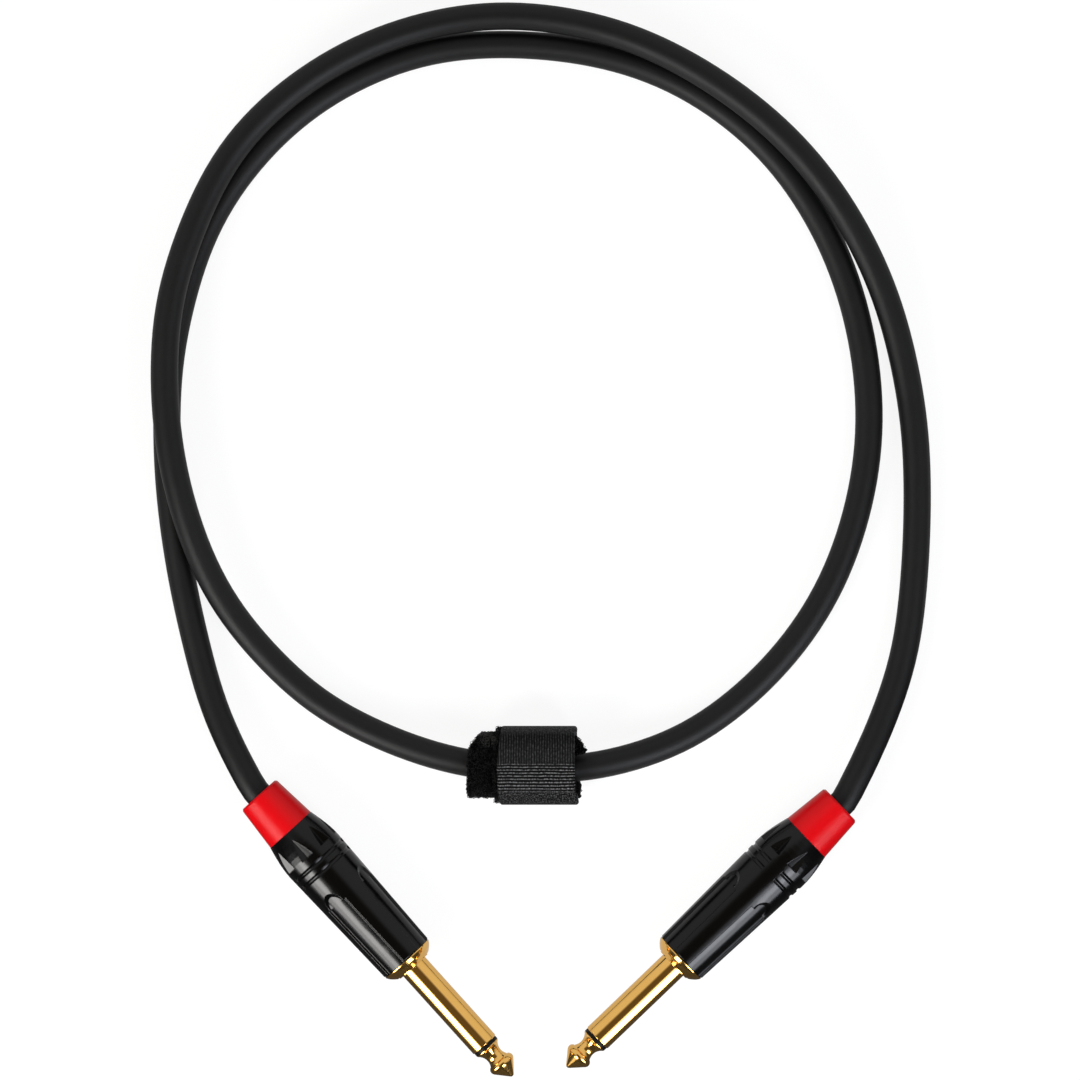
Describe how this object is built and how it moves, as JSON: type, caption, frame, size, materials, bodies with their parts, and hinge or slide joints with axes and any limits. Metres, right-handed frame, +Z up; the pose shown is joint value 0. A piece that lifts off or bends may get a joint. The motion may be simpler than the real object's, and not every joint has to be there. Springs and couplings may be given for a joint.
{
  "type": "instrument cable",
  "caption": "Black round instrument cable in a loose loop, with a straight gold-plated 6.35 mm jack plug with black shell and red boot on each end, and a hook-and-loop tie.",
  "frame": {"origin": "on the surface the cable lies on, under the middle of the box round the two plugs and the tie", "axes": "+X from the left plug to the right plug, +Y from the plugs towards the loop, +Z up"},
  "size_m": [0.1695, 0.2331, 0.0141],
  "materials": {
    "black_pvc": "matte",
    "bare_copper": "satin",
    "natural_polyethylene": "matte",
    "gold_plating": "polished",
    "black_resin": "satin",
    "tinned_brass": "satin",
    "grey_card": "matte",
    "ivory_nylon": "satin",
    "solder": "satin",
    "gloss_black": "gloss",
    "red_pvc": "satin",
    "black_pile": "matte",
    "grey_webbing": "matte"
  },
  "bodies": {
    "root": {"cable_jacket": "black_pvc", "cable_shield": "bare_copper", "core_insulation": "natural_polyethylene", "core_conductor": "bare_copper", "left_sleeve": "gold_plating", "left_tip_contact": "gold_plating", "left_tip_insulator": "black_resin", "left_rear_insulator": "black_resin", "left_tip_terminal": "tinned_brass", "left_ground_terminal": "tinned_brass", "left_insulating_tube": "grey_card", "left_cord_clamp": "ivory_nylon", "left_shield_pigtail": "bare_copper", "left_solder_joints": "solder", "right_sleeve": "gold_plating", "right_tip_contact": "gold_plating", "right_tip_insulator": "black_resin", "right_rear_insulator": "black_resin", "right_tip_terminal": "tinned_brass", "right_ground_terminal": "tinned_brass", "right_insulating_tube": "grey_card", "right_cord_clamp": "ivory_nylon", "right_shield_pigtail": "bare_copper", "right_solder_joints": "solder"},
    "left_boot_body": {"left_boot": "red_pvc"},
    "left_shell_body": {"left_shell": "gloss_black"},
    "right_boot_body": {"right_boot": "red_pvc"},
    "right_shell_body": {"right_shell": "gloss_black"},
    "tie_body": {"tie_wrap": "black_pile"},
    "flap_body": {"tie_flap": "grey_webbing"}
  },
  "joints": [
    {"name": "left_boot_slide", "type": "slide", "parent": "root", "child": "left_boot_body", "axis": [-0.6704, 0.742, 0], "range_m": [0, 0.00375]},
    {"name": "left_shell_turn", "type": "hinge", "parent": "left_boot_body", "child": "left_shell_body", "pos_m": [-0.056, 0.01546, 0.00705], "axis": [-0.6704, 0.742, 0], "range_deg": [0, 1801]},
    {"name": "right_boot_slide", "type": "slide", "parent": "root", "child": "right_boot_body", "axis": [0.7218, 0.6921, 0], "range_m": [0, 0.00375]},
    {"name": "right_shell_turn", "type": "hinge", "parent": "right_boot_body", "child": "right_shell_body", "pos_m": [0.05587, 0.01377, 0.00705], "axis": [0.7218, 0.6921, 0], "range_deg": [0, 1801]},
    {"name": "tie_slide", "type": "slide", "parent": "root", "child": "tie_body", "axis": [1, 0, 0], "range_m": [-0.005, 0.005]},
    {"name": "tie_open", "type": "hinge", "parent": "tie_body", "child": "flap_body", "pos_m": [-0.0023, 0.0331, 0.01405], "axis": [-1, 0, 0], "range_deg": [0, 150]}
  ],
  "couplings": [
    {"joint": "left_shell_turn", "follows": "left_boot_slide", "rad_per_m": 8377.6},
    {"joint": "right_shell_turn", "follows": "right_boot_slide", "rad_per_m": 8377.6}
  ]
}
